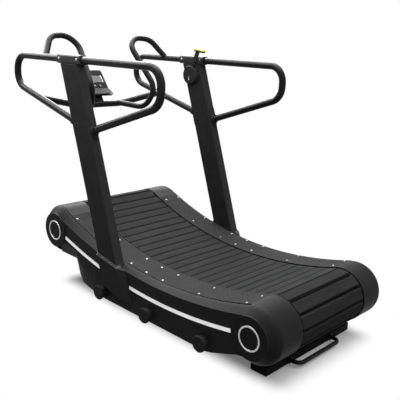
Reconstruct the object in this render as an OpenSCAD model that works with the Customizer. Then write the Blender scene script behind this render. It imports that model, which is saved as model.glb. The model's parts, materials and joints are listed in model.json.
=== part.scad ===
// Curved manual treadmill, in millimetres.
// +X is the way the belt's top run moves, towards the rear. +Y is the runner's right. +Z is up.
// The origin is on the floor, at the middle of the machine's length and width.

/* [Belt run] */
// Distance along the floor between the front and rear axles
axle_span = 1442; // [1360:1:1520]
// Height of the rear axle
rear_axle_z = 220; // [212:1:235]
// Height of the front axle
front_axle_z = 325; // [310:1:345]
// Radius of the curved running surface
deck_r = 1954; // [1850:1:2300]
// Radius of the running surface where it turns round the end pulleys
wrap_r = 131; // [126:1:140]
// Wanted distance from slat to slat
slat_pitch = 60; // [50:1:70]
// Gap between the tops of two slats on a straight run
slat_gap = 5; // [4:0.5:9]
// Length of a slat across the machine
slat_len = 490; // [470:1:500]
// Height of a slat from the drive belt to its top
slat_h = 20; // [16:1:24]
// Width of each toothed drive belt
belt_w = 30; // [24:1:36]
// Thickness of each drive belt
belt_t = 5; // [4:0.5:7]
// Distance of each drive belt's middle from the slats' ends
belt_inset = 30; // [25:1:40]

/* [Base] */
// Gap between the slats and the treads
edge_gap = 8; // [6:1:12]
// Width of each tread
tread_w = 147; // [130:1:152]
// Thickness of each tread
tread_t = 16; // [12:1:20]
// Height of the treads above the running surface
tread_rise = 4; // [2:0.5:8]
// Arc length of smooth shoulder ahead of each tread
tread_inset = 55; // [30:1:80]
// Width of the sloping shoulders outside the treads
shoulder_w = 40; // [36:1:46]
// How far the side covers' lower front corners tuck in
tuck_in = 22; // [0:1:28]
// Radius of the round cap faces
cap_disc_r = 98; // [88:1:104]
// Thickness of the round cap faces
cap_disc_t = 6; // [4:0.5:9]
// Radius of the trim ring on each cap
ring_r = 60; // [45:1:75]
// Radius of the line where the shoulders meet the side faces
shoulder_r = 2380; // [2200:10:2700]
// Radius of the side stripe
stripe_r = 2600; // [2450:10:2900]
// Height of the stripe above the axles at its ends
stripe_rise = 15; // [5:1:30]
// Width of the side stripe
stripe_w = 18; // [12:1:24]
// Height of the side covers' bottom edge
skirt_z = 60; // [56:1:66]

/* [Frame] */
// Thickness of the frame plates
plate_t = 8; // [6:1:10]
// Depth of the curved frame plates below the treads
plate_depth = 100; // [85:1:115]
// Length of the foot bars across the machine
foot_len = 664; // [620:1:700]
// Depth of the foot bars along the machine
foot_d = 90; // [70:1:100]
// Height of the foot bars with their pads
foot_h = 47; // [40:1:50]
// Thickness of the rubber foot pads
pad_h = 6; // [4:1:9]
// Distance of the front foot bar behind the front axle
front_foot = 240; // [220:1:260]
// Distance of the rear foot bar ahead of the rear axle
rear_foot = 25; // [15:1:35]
// Diameter of the axles
axle_d = 25; // [20:1:30]
// Radius of the rollers under the drive belts
roller_r = 14; // [11:1:15]
// Wanted distance from roller to roller
roller_pitch = 75; // [60:1:90]
// Radius of the brake disc
brake_r = 92; // [80:1:96]
// Radius of the transport wheels
wheel_r = 30; // [26:1:31]

/* [Uprights] */
// Distance of the uprights ahead of the rear axle at deck height
upright_reach = 940; // [900:1:980]
// Height at which that distance is measured
upright_ref_z = 320; // [310:1:330]
// Forward lean of the uprights in degrees
lean = 18.7; // [17:0.1:20]
// Depth of an upright along the machine
upright_d = 138; // [126:1:146]
// Thickness of an upright across the machine
upright_t = 56; // [52:1:60]
// Distance of the uprights' middles inside the side covers' faces
upright_inset = 2; // [-1:0.5:4]
// Wall of the uprights
upright_wall = 4; // [3:0.5:6]
// Distance of an upright's lower end above the floor
upright_foot_z = 165; // [155:1:170]

/* [Handrails] */
// Height of the handrails' top runs
rail_z = 1280; // [1240:1:1320]
// Diameter of the handrail, horn and cross tubes
rail_d = 38; // [34:1:40]
// Wall of those tubes
tube_wall = 3; // [2:0.5:4]
// Distance of the handrails' front run ahead of the rear axle
rail_front = 1802; // [1770:1:1840]
// Distance of the handrails' rear run ahead of the rear axle
rail_rear = 582; // [540:1:620]
// Radius of the handrail bends
rail_bend = 85; // [75:1:88]
// Height of the rails' front lower corner
front_corner_z = 1118; // [1112:1:1125]
// Height of the rails' rear lower corner
rear_corner_z = 1111; // [1102:1:1118]
// Height at which the front lower rail meets its upright
front_joint_z = 965; // [940:1:990]
// Height at which the rear lower rail meets its upright
rear_joint_z = 936; // [910:1:960]
// Radius of the bends in the horns and the crossbar
horn_bend = 88; // [80:1:90]
// Length of the clamp sleeves on the top rails
clamp_len = 196; // [180:1:210]
// Distance between the two bolts of a clamp
clamp_bolts_apart = 155; // [140:1:165]

/* [Console] */
// Width of the console
console_w = 190; // [170:1:210]
// Length of the console along its face
console_h = 130; // [120:1:140]
// Thickness of the console case
console_t = 34; // [28:1:40]
// Tilt of the console face from level in degrees
console_tilt = 52; // [46:1:56]
// Diameter of the console buttons
button_d = 14; // [10:1:18]
// Travel of the console buttons
button_travel = 1.5; // [1:0.1:2]

/* [Resistance lever] */
// Height of the dial on the right upright
dial_z = 1194; // [1165:1:1200]
// Radius of the dial
dial_r = 54; // [46:1:58]
// Thickness of the dial with its base
dial_t = 34; // [30:1:40]
// Length of the lever from its pivot to its cap
lever_len = 160; // [150:1:175]
// Rearward tilt of the lever from upright, at rest, in degrees
lever_tilt = 22; // [15:1:28]
// Length of the cap across the lever's end
cap_len = 78; // [70:1:84]

/* [Band pegs] */
// Radius of the pegs' heads
peg_head_r = 39; // [32:1:42]
// Height of the pegs above the floor
peg_z = 96; // [94:1:105]
// Distance of the pegs' outer faces from the side covers
peg_reach = 32; // [26:1:40]
// Distance of the rear pegs ahead of the rear axle
rear_peg = 264; // [200:1:320]
// Distance of the middle pegs behind the line of the uprights
middle_peg = 225; // [200:1:260]
// Distance of the front pegs ahead of the line of the uprights
front_peg = 140; // [135:1:160]

/* [Clearances] */
// Gap between pieces that move past each other
run_gap = 0.5; // [0.3:0.1:1]
// Radial play of shafts in their bearings
bearing_gap = 0.05; // [0.02:0.01:0.1]
// Gap between pieces that are pushed or slid together
seat_gap = 0.2; // [0.1:0.05:0.4]
// Gap left where one piece is cut to fit against another
cope_gap = 0.1; // [0.05:0.05:0.2]

/* [Hidden] */
$fn = 96;
long_fn = 720;

// Pieces of one tube or belt reach into the next bend by this much, a hair thinner there
weld = 1.5;
weld_step = 0.05;

// Tread surface, caps and where the machine's middle lies
tread_r = deck_r - tread_rise;
cap_r = wrap_r + tread_rise;
rail_r = rail_d / 2;
rear_x = (rail_front + rail_r - cap_r) / 2;
front_x = -axle_span;
axle_line = sqrt(pow(axle_span, 2) + pow(front_axle_z - rear_axle_z, 2));
axle_slope = atan2(front_axle_z - rear_axle_z, axle_span);

// Centre of a circle that passes at one height above both axles
function arc_centre(rise, r) =
    let (half = axle_line / 2)
    let (far = sqrt(r * r - half * half))
    [front_x / 2 + far * sin(axle_slope), (front_axle_z + rear_axle_z) / 2 + rise + far * cos(axle_slope)];

// Height of such an arc at one place along the machine
function arc_z(c, r, x) = c[1] - sqrt(r * r - pow(x - c[0], 2));

// The running surface is one arc that both end turns are tangent to
deck_c = arc_centre(0, deck_r + wrap_r);
front_angle = atan2(deck_c[0] - front_x, deck_c[1] - front_axle_z);
rear_angle = atan2(-deck_c[0], deck_c[1] - rear_axle_z);

// Line at the middle of the drive belts, from the front tangent round the loop
line_r = deck_r + slat_h + belt_t / 2;
turn_r = wrap_r - slat_h - belt_t / 2;
top_run = line_r * (front_angle + rear_angle) * PI / 180;
rear_turn = 180 + rear_angle + axle_slope;
front_turn = 180 + front_angle - axle_slope;
rear_run = turn_r * rear_turn * PI / 180;
front_run = turn_r * front_turn * PI / 180;
loop_len = top_run + rear_run + axle_line + front_run;
slat_count = round(loop_len / slat_pitch);
pitch = loop_len / slat_count;
slat_foot_w = pitch - 2;
slat_lift = pow(slat_foot_w / 2, 2) / (2 * line_r);

// Place on the belt line: x, z and the direction of travel in degrees
function on_turn(cx, cz, a) = [cx + turn_r * cos(a), cz + turn_r * sin(a), a - 90];
function on_top(a) = [deck_c[0] + line_r * sin(a), deck_c[1] - line_r * cos(a), a];
function on_return(s) =
    let (a = 180 - axle_slope)
    let (from = on_turn(0, rear_axle_z, a + 90))
    [from[0] + s * cos(a), from[1] + s * sin(a), a];
function on_belt(s) =
    s < top_run ? on_top(s / line_r * 180 / PI - front_angle)
    : s < top_run + rear_run
        ? on_turn(0, rear_axle_z, 90 + rear_angle - (s - top_run) / turn_r * 180 / PI)
    : s < top_run + rear_run + axle_line ? on_return(s - top_run - rear_run)
    : on_turn(front_x, front_axle_z, 270 - axle_slope
        - (s - top_run - rear_run - axle_line) / turn_r * 180 / PI);

// Widths across the machine
belt_y = slat_len / 2 - belt_inset;
tread_in = slat_len / 2 + edge_gap;
tread_out = tread_in + tread_w;
side_y = tread_out + shoulder_w;
plate_in = tread_in + 3;
plate_out = plate_in + plate_t;
plate_top_r = tread_r + tread_t + cope_gap;
shelf_t = 6;
lip_w = 10;
cover_t = 8;
shoulder_in = tread_out + 1;

// Angles about the deck's centre at which the treads start and end
tread_from = front_angle - tread_inset / tread_r * 180 / PI;
joint_line = 1;
joint_angle = joint_line / tread_r * 180 / PI;
tread_to = rear_angle - joint_angle;

// Outlines of the side covers
shoulder_c = arc_centre(cap_disc_r, shoulder_r);
stripe_c = arc_centre(stripe_rise, stripe_r);
cover_hub = 25;
skirt_edge = [
    [front_x + 181, front_axle_z - 126],
    [front_x + 199, front_axle_z - 183],
    [front_x + 213, front_axle_z - 220],
    [front_x + 236, skirt_z + 20],
    [-1000, skirt_z],
    [-235, skirt_z - 2],
    [-46, rear_axle_z - 96]];
cover_steps = 40;

// Shoulders turn down in a soft curve, over this share of their width on each side of the treads' edges
shoulder_soft = 0.4;
function shoulder_drop(u) = u > shoulder_soft ? u : pow(u + shoulder_soft, 2) / (4 * shoulder_soft);
cover_cuts = [0, 0.13, 0.27, 0.4, 1];
crease = 0.62;
function tuck(x) = lookup(x, [[front_x + 190, tuck_in], [front_x + 380, 0]]);

// Uprights
upright_run = tan(lean);
upright_half = upright_d / 2 / cos(lean);
upright_y = side_y - upright_inset;
upright_in = upright_y - upright_t / 2;
upright_out = upright_y + upright_t / 2;
sleeve_r = rail_r + 5;
upright_top_z = rail_z - sleeve_r - seat_gap;
upright_round = 9;
function upright_x(z) = -upright_reach - (z - upright_ref_z) * upright_run;
room_top_z = upright_ref_z + 300;
outrigger_z = upright_foot_z + 50;
boot_wall = 5;
boot_rim = 8;
boot_flare = 34;
boot_fall = 0.18;
boot_top_z = upright_ref_z - 30;
boot_low_z = upright_foot_z - 27;
function boot_point(z, side, grow) =
    let (out = side * (upright_half + boot_rim + grow))
    [upright_x(z) + out, z - out * boot_fall];

// Handrails and horns
clamp_x = upright_x(upright_top_z) - 6;
clamp_bolt_r = 6;
boss_len = 20;
joint_reach = 16;
rail_pad_len = 124;
rail_pad_w = 42;
rail_pad_t = 5;
horn_r = rail_r - 2;
cope_r = rail_r + cope_gap;
rail_path = [
    [upright_x(front_joint_z) - upright_half + joint_reach, upright_y, front_joint_z],
    [-rail_front, upright_y, front_corner_z],
    [-rail_front, upright_y, rail_z],
    [-rail_rear, upright_y, rail_z],
    [-rail_rear, upright_y, rear_corner_z],
    [upright_x(rear_joint_z) + upright_half - joint_reach, upright_y, rear_joint_z]];
front_rail_slope = (rail_path[1][2] - rail_path[0][2]) / (rail_path[0][0] - rail_path[1][0]);
bar_end_x = -rail_front + 234;
bar_end_z = front_joint_z + (rail_path[0][0] - bar_end_x) * front_rail_slope;
bar_mid = [bar_end_x - 51, upright_y - 281, bar_end_z - 60];
crossbar_path = [
    [bar_end_x, -upright_y, bar_end_z],
    [bar_mid[0], -bar_mid[1], bar_mid[2]],
    [bar_mid[0], bar_mid[1], bar_mid[2]],
    [bar_end_x, upright_y, bar_end_z]];
horn_foot_x = -rail_front + 292;
horn_path = [
    [horn_foot_x, upright_y - 2, rail_z],
    [horn_foot_x - 73, upright_y - 78, rail_z + 111],
    [horn_foot_x - 95, upright_y - 259, rail_z + 121],
    [horn_foot_x + 139, upright_y - 208, rail_z - 173],
    [horn_foot_x + 78, upright_y - 235, bar_mid[2] - 12],
    [bar_mid[0] + 5, bar_mid[1] - 19, bar_mid[2] + 5]];

// Console, on a post at the middle of the crossbar
console_x = bar_mid[0] - 41;
console_z = bar_mid[2] + 92;
console_lip = [-54, 15];
lip_r = 9;
screen_from = console_h * 0.33;
screen_h = console_h * 0.38;
screen_w = console_w * 0.84;
button_u = console_h * 0.13;
button_step = console_w * 0.22;
post_w = 46;
function console_at(u, v) =
    [console_x - u * cos(console_tilt) + v * sin(console_tilt),
        console_z + u * sin(console_tilt) + v * cos(console_tilt)];

// Dial and lever
dial_x = upright_x(dial_z);
dial_face = upright_in - dial_t;
dial_base_t = 10;
lever_t = 12;
lever_y = dial_face + 6;
pin_r = 7;
cap_shift = 13;
cap_turn = 15;
cap_w = 24;

// Brake
brake_y = plate_out + 82;
brake_t = 8;
brake_gap = 3;
brake_pivot = [front_x + 150, front_axle_z - 34];
brake_pin_r = 6;

// Pegs
peg_xs = [-rear_peg, upright_x(peg_z) + middle_peg, upright_x(peg_z) - front_peg];

// Frame
plate_end = 24;
leg_w = 74;
rear_leg_w = 50;
lug_r = 52;
bearing_t = 24;
bearing_r = 40;
pulley_r = turn_r - belt_t / 2 - run_gap;
pulley_w = belt_w + 6;
roller_w = belt_w;
roller_line_r = line_r + belt_t / 2 + run_gap + roller_r;
roller_first = 5;
roller_span = front_angle + rear_angle - 2 * roller_first;
roller_count = round(roller_span * PI / 180 * roller_line_r / roller_pitch) + 1;
roller_pin_r = 5;
tube_side = 36;
tube_places = [0.16, 0.42, 0.66, 0.88];
wheel_y = 285;
wheel_w = 26;
wheel_pin_r = 5;
wheel_arm = 46;

// Rows of screws in the treads, as shares of the tread's arc
screw_rows = [0.025, 0.22, 0.395, 0.485, 0.575, 0.76, 0.975];
screw_lines = [31, 134];
screw_head_r = 5.5;
screw_r = 3;

black = [0.10, 0.10, 0.105];
charcoal = [0.20, 0.20, 0.205];
grey = [0.34, 0.34, 0.35];
steel = [0.62, 0.63, 0.65];
silver = [0.78, 0.78, 0.79];
yellow = [0.95, 0.86, 0.12];

// Shared shapes

// Everything is drawn from the rear axle's place on the floor
module from_rear() {
    translate([rear_x, 0, 0])
        children();
}

// The right side as drawn, and the left side as its mirror image
module right_side() {
    from_rear()
        children();
}

module left_side() {
    from_rear()
        mirror([0, 1, 0])
            children();
}

module both_sides() {
    right_side()
        children();
    left_side()
        children();
}

// A flat outline in x and z, thick from y0 to y1
module slab(y0, y1) {
    translate([0, y1, 0])
        rotate([90, 0, 0])
            linear_extrude(y1 - y0)
                children();
}

// A section in radius and y, turned about the y axis from angle a0 to a1
module turned(a0, a1) {
    rotate([90, 0, 0])
        rotate([0, 0, a0])
            rotate_extrude(angle = a1 - a0)
                mirror([0, 1])
                    children();
}

// A rectangle of radii r0 to r1 and widths y0 to y1, turned the same way
module sector(r0, r1, y0, y1, a0, a1) {
    turned(a0, a1)
        translate([r0, y0])
            square([r1 - r0, y1 - y0]);
}

// A round bar along y
module pin(r, y0, y1) {
    translate([0, y1, 0])
        rotate([90, 0, 0])
            cylinder(h = y1 - y0, r = r);
}

module deck_sector(r0, r1, y0, y1, from, to) {
    $fn = long_fn;
    translate([deck_c[0], 0, deck_c[1]])
        sector(r0, r1, y0, y1, 270 - from, 270 + to);
}

// A rectangle with four round corners, about the origin
module round_rect(w, h, r) {
    square([w - 2 * r, h], center = true);
    square([w, h - 2 * r], center = true);
    for (sx = [-1, 1], sy = [-1, 1])
        translate([sx * (w / 2 - r), sy * (h / 2 - r)])
            circle(r);
}

// A closed solid through rows of points, each row the same section further on
module loft(rows) {
    n = len(rows[0]);
    last = (len(rows) - 1) * n;
    points = [for (row = rows) each row];
    sides = [for (i = [0:len(rows) - 2], j = [0:n - 1])
        let (a = i * n + j)
        let (b = i * n + (j + 1) % n)
        each [[a, b, a + n], [b, b + n, a + n]]];
    ends = [[for (j = [n - 1:-1:0]) j], [for (j = [0:n - 1]) last + j]];
    polyhedron(points, concat(sides, ends));
}

// Directions and turns along a row of points
function unit(v) = v / norm(v);
function heading(p, i) = unit(p[i + 1] - p[i]);
function turn_at(p, i) = acos(heading(p, i - 1) * heading(p, i));
function bend_cut(p, i, bend) = bend * tan(turn_at(p, i) / 2);

module tube_section(r, bore) {
    difference() {
        circle(r);
        if (bore > 0)
            circle(bore);
    }
}

// A straight piece of tube between two points; a bore of 0 makes a solid bar
module straight_tube(from, to, r, bore) {
    v = to - from;
    translate(from)
        rotate([0, acos(v[2] / norm(v)), atan2(v[1], v[0])])
            linear_extrude(norm(v))
                tube_section(r, bore);
}

// A bend of tube at corner i of a row of points
module tube_bend(p, i, bend, r, bore) {
    a = heading(p, i - 1);
    b = heading(p, i);
    turn = turn_at(p, i);
    inward = (b - a * cos(turn)) / sin(turn);
    axis = cross(a, inward);
    centre = p[i] - a * bend_cut(p, i, bend) + inward * bend;
    multmatrix([
        [-inward[0], a[0], axis[0], centre[0]],
        [-inward[1], a[1], axis[1], centre[1]],
        [-inward[2], a[2], axis[2], centre[2]],
        [0, 0, 0, 1]])
        rotate_extrude(angle = turn)
            translate([bend, 0])
                tube_section(r - weld_step, bore > 0 ? bore + weld_step : 0);
}

// How far from corner i a straight piece stops
function straight_end(p, i, bend) = i == 0 || i == len(p) - 1 ? 0 : bend_cut(p, i, bend) - weld;

// A tube along a row of corner points, all bent at one radius
module bent_tube(p, bend, r, bore) {
    for (i = [0:len(p) - 2])
        straight_tube(p[i] + heading(p, i) * straight_end(p, i, bend),
            p[i + 1] - heading(p, i) * straight_end(p, i + 1, bend), r, bore);
    for (i = [1:len(p) - 2])
        tube_bend(p, i, bend, r, bore);
}

// Frame

// Outline of one frame plate: the curved beam, the axle lugs and the two legs
module plate_outline() {
    intersection() {
        translate(deck_c)
            difference() {
                circle(plate_top_r + plate_depth, $fn = long_fn);
                circle(plate_top_r + 1, $fn = long_fn);
            }
        translate([front_x + plate_end, 0])
            square([axle_span - 2 * plate_end, deck_c[1]]);
    }
    translate([front_x, front_axle_z])
        circle(lug_r);
    translate([0, rear_axle_z])
        circle(lug_r);
    translate([front_x + front_foot - leg_w / 2, foot_h])
        square([leg_w, arc_z(deck_c, plate_top_r, front_x + front_foot) - foot_h - 30]);
    translate([-cap_r * sin(axle_slope) - 4 - rear_leg_w, foot_h])
        square([rear_leg_w, rear_axle_z - foot_h]);
}

// Place of a roller on the frame: x and z
function roller_at(i) =
    let (a = roller_first - front_angle + i * roller_span / (roller_count - 1))
    [deck_c[0] + roller_line_r * sin(a), deck_c[1] - roller_line_r * cos(a)];

module frame_plate() {
    difference() {
        slab(plate_in, plate_out)
            plate_outline();
        for (axle = [[front_x, front_axle_z], [0, rear_axle_z]])
            translate([axle[0], 0, axle[1]])
                pin(axle_d / 2 + 2, plate_in - 1, plate_out + 1);
        for (t = [0.1:0.1:0.9])
            translate([deck_c[0], 0, deck_c[1]])
                rotate([0, front_angle - t * (front_angle + rear_angle), 0])
                    translate([0, 0, -plate_top_r - plate_depth * 0.62])
                        pin(plate_depth * 0.2, plate_in - 1, plate_out + 1);
    }
}

// Arm that reaches out to the foot of the upright, with its bolting plate
module outrigger() {
    z = outrigger_z;
    translate([upright_x(z) - 30, plate_in + 1, z - 25])
        cube([60, upright_in - 8 - plate_in, 50]);
    translate([upright_x(z) - 45, upright_in - 8, z - 40])
        cube([90, 8, 80]);
}

module side_frame() {
    frame_plate();
    difference() {
        deck_sector(plate_top_r, plate_top_r + shelf_t, plate_in + 1, shoulder_in + lip_w, front_angle - 1.5,
            rear_angle - 1.5);
        upright_room(seat_gap, upright_foot_z, room_top_z);
    }
    outrigger();
    for (i = [0:roller_count - 1])
        translate([roller_at(i)[0], 0, roller_at(i)[1]])
            pin(roller_pin_r, belt_y - roller_w / 2 - 3, plate_in + 1);
}

module brake_pivot_pin() {
    translate([brake_pivot[0], 0, brake_pivot[1]])
        pin(brake_pin_r, plate_out - 1, brake_y + 26);
}

module left_frame() {
    color(black)
        left_side()
            side_frame();
}

module right_frame() {
    color(black)
        right_side() {
            side_frame();
            brake_pivot_pin();
        }
}

// Square tubes that join the two frame plates inside the belt's loop
module cross_tubes() {
    color(black)
        from_rear()
            for (t = tube_places) {
                x = front_x * (1 - t);
                z = cross_tube_z(x);
                difference() {
                    translate([x, 0, z])
                        rotate([90, 0, 0])
                            linear_extrude(2 * plate_in, center = true)
                                round_rect(tube_side, tube_side, 5);
                    translate([x, 0, z])
                        rotate([90, 0, 0])
                            linear_extrude(2 * plate_in + 2, center = true)
                                round_rect(tube_side - 6, tube_side - 6, 2.5);
                }
            }
}

// Middle of the room between the top run and the return run
function return_z(x) = rear_axle_z - turn_r / cos(axle_slope) - x * tan(axle_slope);
function cross_tube_z(x) = (arc_z(deck_c, line_r, x) - 2 * roller_r + return_z(x)) / 2;

module track_rollers() {
    color(steel)
        both_sides()
            for (i = [0:roller_count - 1])
                translate([roller_at(i)[0], 0, roller_at(i)[1]])
                    difference() {
                        pin(roller_r, belt_y - roller_w / 2, belt_y + roller_w / 2);
                        pin(roller_pin_r + bearing_gap, belt_y - roller_w / 2 - 1, belt_y + roller_w / 2 + 1);
                    }
}

// Axles, pulleys and bearings

module axle(z, from, to) {
    translate([0, 0, z])
        pin(axle_d / 2, from, to);
}

module front_axle() {
    color(steel)
        from_rear()
            translate([front_x, 0, 0])
                axle(front_axle_z, -plate_out - bearing_t - 6, brake_y + brake_t / 2 + 22);
}

module rear_axle() {
    color(steel)
        from_rear()
            axle(rear_axle_z, -plate_out - bearing_t - 6, plate_out + bearing_t + 6);
}

// Toothed pulley: rim, web with six holes, and hub
module pulley() {
    rim = 9;
    web = 8;
    hub_r = axle_d / 2 + 14;
    difference() {
        union() {
            difference() {
                pin(pulley_r, belt_y - pulley_w / 2, belt_y + pulley_w / 2);
                pin(pulley_r - rim, belt_y - pulley_w / 2 - 1, belt_y + pulley_w / 2 + 1);
            }
            pin(pulley_r - rim + 0.5, belt_y - web / 2, belt_y + web / 2);
            pin(hub_r, belt_y - pulley_w / 2, belt_y + pulley_w / 2);
        }
        pin(axle_d / 2, belt_y - pulley_w, belt_y + pulley_w);
        for (i = [0:5])
            rotate([0, i * 60, 0])
                translate([(pulley_r - rim + hub_r) / 2, 0, 0])
                    pin((pulley_r - rim - hub_r) * 0.3, belt_y - pulley_w, belt_y + pulley_w);
    }
}

module front_pulley() {
    translate([front_x, 0, front_axle_z])
        pulley();
}

module rear_pulley() {
    translate([0, 0, rear_axle_z])
        pulley();
}

module left_front_pulley() {
    color(charcoal)
        left_side()
            front_pulley();
}

module right_front_pulley() {
    color(charcoal)
        right_side()
            front_pulley();
}

module left_rear_pulley() {
    color(charcoal)
        left_side()
            rear_pulley();
}

module right_rear_pulley() {
    color(charcoal)
        right_side()
            rear_pulley();
}

// Flanged bearing on the outside of a frame plate
module bearing() {
    difference() {
        union() {
            pin(bearing_r, plate_out, plate_out + 8);
            pin(bearing_r - 10, plate_out, plate_out + bearing_t);
        }
        pin(axle_d / 2 + bearing_gap, plate_out - 1, plate_out + bearing_t + 1);
    }
}

module axle_bearings() {
    color(grey)
        both_sides() {
            translate([front_x, 0, front_axle_z])
                bearing();
            translate([0, 0, rear_axle_z])
                bearing();
        }
}

// Magnetic brake

module brake_disc() {
    color(steel)
        right_side()
            translate([front_x, 0, front_axle_z])
                difference() {
                    union() {
                        pin(brake_r, brake_y - brake_t / 2, brake_y + brake_t / 2);
                        pin(axle_d / 2 + 12, brake_y - brake_t / 2 - 12, brake_y + brake_t / 2 + 12);
                    }
                    pin(axle_d / 2, brake_y - 40, brake_y + 40);
                    for (i = [0:5])
                        rotate([0, i * 60, 0])
                            translate([brake_r * 0.58, 0, 0])
                                pin(brake_r * 0.15, brake_y - 40, brake_y + 40);
                }
}

// Outline of one cheek of the magnet bracket, from its pivot towards the disc
module cheek_outline() {
    translate(brake_pivot)
        circle(15);
    translate([brake_pivot[0] - 70, brake_pivot[1] - 2])
        square([70, 16]);
    translate([brake_pivot[0] - 80, brake_pivot[1] - 14])
        square([26, 48]);
}

module magnet_bracket() {
    color(charcoal)
        right_side()
            difference() {
                union() {
                    for (s = [-1, 1])
                        translate([0, s * (brake_t / 2 + 13), 0])
                            slab(brake_y - 2.5, brake_y + 2.5)
                                cheek_outline();
                    translate([brake_pivot[0], 0, brake_pivot[1]])
                        pin(15, brake_y - brake_t / 2 - 13, brake_y + brake_t / 2 + 13);
                }
                translate([brake_pivot[0], 0, brake_pivot[1]])
                    pin(brake_pin_r + bearing_gap, brake_y - 40, brake_y + 40);
            }
}

// Four block magnets, two on each cheek
module brake_magnets() {
    magnet_t = 10.5 - brake_gap;
    magnet_y = brake_t / 2 + brake_gap + magnet_t / 2;
    color(silver)
        right_side()
            for (s = [-1, 1], dz = [-12, 10])
                translate([brake_pivot[0] - 78, brake_y + s * magnet_y - magnet_t / 2, brake_pivot[1] + dz])
                    cube([22, magnet_t, 20]);
}

// Sheath of the brake cable, inside the right upright and down to the brake
module brake_cable() {
    r = 3;
    top_z = dial_z - 20;
    low_z = upright_foot_z + 30;
    y = upright_in + upright_wall + r + cope_gap;
    color(black)
        right_side()
            straight_tube([upright_x(top_z) + 30, y, top_z], [upright_x(low_z) + 30, y, low_z], r, 0);
}

// Belt

// The two drive belts as closed bands
module belt_band() {
    y0 = belt_y - belt_w / 2;
    y1 = belt_y + belt_w / 2;
    half = belt_t / 2;
    slim = half - weld_step;
    past = weld / line_r * 180 / PI;
    deck_sector(line_r - half, line_r + half, y0, y1, front_angle + past, rear_angle + past);
    translate([0, 0, rear_axle_z])
        sector(turn_r - slim, turn_r + slim, y0 + weld_step, y1 - weld_step,
            -90 - axle_slope, 90 + rear_angle);
    translate([front_x, 0, front_axle_z])
        sector(turn_r - slim, turn_r + slim, y0 + weld_step, y1 - weld_step,
            90 - front_angle, 270 - axle_slope);
    start = on_return(0);
    translate([start[0], 0, start[1]])
        rotate([0, -start[2], 0])
            translate([-weld, y0, -half])
                cube([axle_line + 2 * weld, belt_w, belt_t]);
}

module drive_belts() {
    color(black)
        both_sides()
            belt_band();
}

// Section of a slat: a crowned tread bar on a foot that nearly meets the next one, with its foot at height 0
module slat_outline() {
    top_w = pitch - slat_gap;
    edge = 4;
    bar = 11;
    translate([-top_w / 2, slat_h - bar])
        square([top_w, bar - edge]);
    translate([-top_w / 2 + edge, slat_h - bar])
        square([top_w - 2 * edge, bar]);
    for (s = [-1, 1])
        translate([s * (top_w / 2 - edge), slat_h - edge])
            circle(edge);
    translate([-slat_foot_w / 2, 0])
        square([slat_foot_w, slat_h - bar]);
}

module belt_slats() {
    color(charcoal)
        from_rear()
            for (i = [0:slat_count - 1]) {
                place = on_belt(i * pitch);
                translate([place[0], 0, place[1]])
                    rotate([0, -place[2], 0])
                        translate([0, 0, belt_t / 2 + seat_gap + slat_lift])
                            slab(-slat_len / 2, slat_len / 2)
                                slat_outline();
            }
}

// Covers

// Bottom edge of a side cover
function skirt(x) = lookup(x, skirt_edge);

// One section of a side cover between the front axle, t = 0, and the rear axle, t = 1
function cover_row(t) =
    let (a0 = 90 - front_angle)
    let (a1 = 90 + rear_angle)
    let (f = [front_x, front_axle_z])
    let (r = [0, rear_axle_z])
    let (df = [cos(a0), sin(a0)])
    let (dr = [cos(a1), sin(a1)])
    let (end = t == 0 ? 0 : t == 1 ? 1 : 2)
    let (xt = front_x + cap_r * df[0] + t * (axle_span - cap_r * df[0] + cap_r * dr[0]))
    let (zt = arc_z(deck_c, tread_r, xt))
    let (xs = front_x + cap_disc_r * df[0] + t * (axle_span - cap_disc_r * df[0] + cap_disc_r * dr[0]))
    let (zs = arc_z(shoulder_c, shoulder_r, xs))
    let (xb = front_x - cover_hub * df[0] + t * (axle_span + cover_hub * df[0] - cover_hub * dr[0]))
    let (p_top = end == 0 ? f + cap_r * df : end == 1 ? r + cap_r * dr : [xt, zt])
    let (p_side = end == 0 ? f + cap_disc_r * df : end == 1 ? r + cap_disc_r * dr : [xs, zs])
    let (p_low = end == 0 ? f - cover_hub * df : end == 1 ? r - cover_hub * dr : [xb, skirt(xb)])
    let (lip = unit(p_top - (end == 0 ? f : end == 1 ? r : [xt, zt - 1])))
    let (p_crease = p_side + crease * (p_low - p_side))
    let (low_y = side_y - tuck(p_low[0]))
    [for (u = cover_cuts)
        let (p = p_top + shoulder_drop(u) * (p_side - p_top))
        [p[0], shoulder_in + u * (side_y - shoulder_in), p[1]],
        [p_crease[0], side_y, p_crease[1]],
        [p_low[0], low_y, p_low[1]],
        [p_low[0], low_y - cover_t, p_low[1]],
        [p_crease[0], side_y - cover_t, p_crease[1]],
        [p_side[0] - 16 * lip[0], side_y - cover_t, p_side[1] - 16 * lip[1]],
        [p_top[0] - tread_t * lip[0], shoulder_in + lip_w, p_top[1] - tread_t * lip[1]],
        [p_top[0] - tread_t * lip[0], shoulder_in, p_top[1] - tread_t * lip[1]]];

// Room for an upright, leaning with it
module upright_room(gap, z0, z1) {
    hull_w = upright_half + gap / cos(lean);
    slab(upright_in - gap, upright_out + gap)
        polygon([
            [upright_x(z0) - hull_w, z0], [upright_x(z0) + hull_w, z0],
            [upright_x(z1) + hull_w, z1], [upright_x(z1) - hull_w, z1]]);
}

module side_cover() {
    difference() {
        loft([for (i = [0:cover_steps]) cover_row(i / cover_steps)]);
        upright_room(seat_gap, upright_foot_z - seat_gap, room_top_z);
    }
}

module left_side_cover() {
    color(black)
        left_side()
            side_cover();
}

module right_side_cover() {
    color(black)
        right_side()
            side_cover();
}

// Place of a tread screw as an angle about the deck's centre
function screw_angle(t) = -tread_from + t * (tread_from + tread_to);

module at_screws() {
    for (t = screw_rows, line = screw_lines)
        translate([deck_c[0], tread_in + line, deck_c[1]])
            rotate([0, -screw_angle(t), 0])
                translate([0, 0, -tread_r])
                    children();
}

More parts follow.
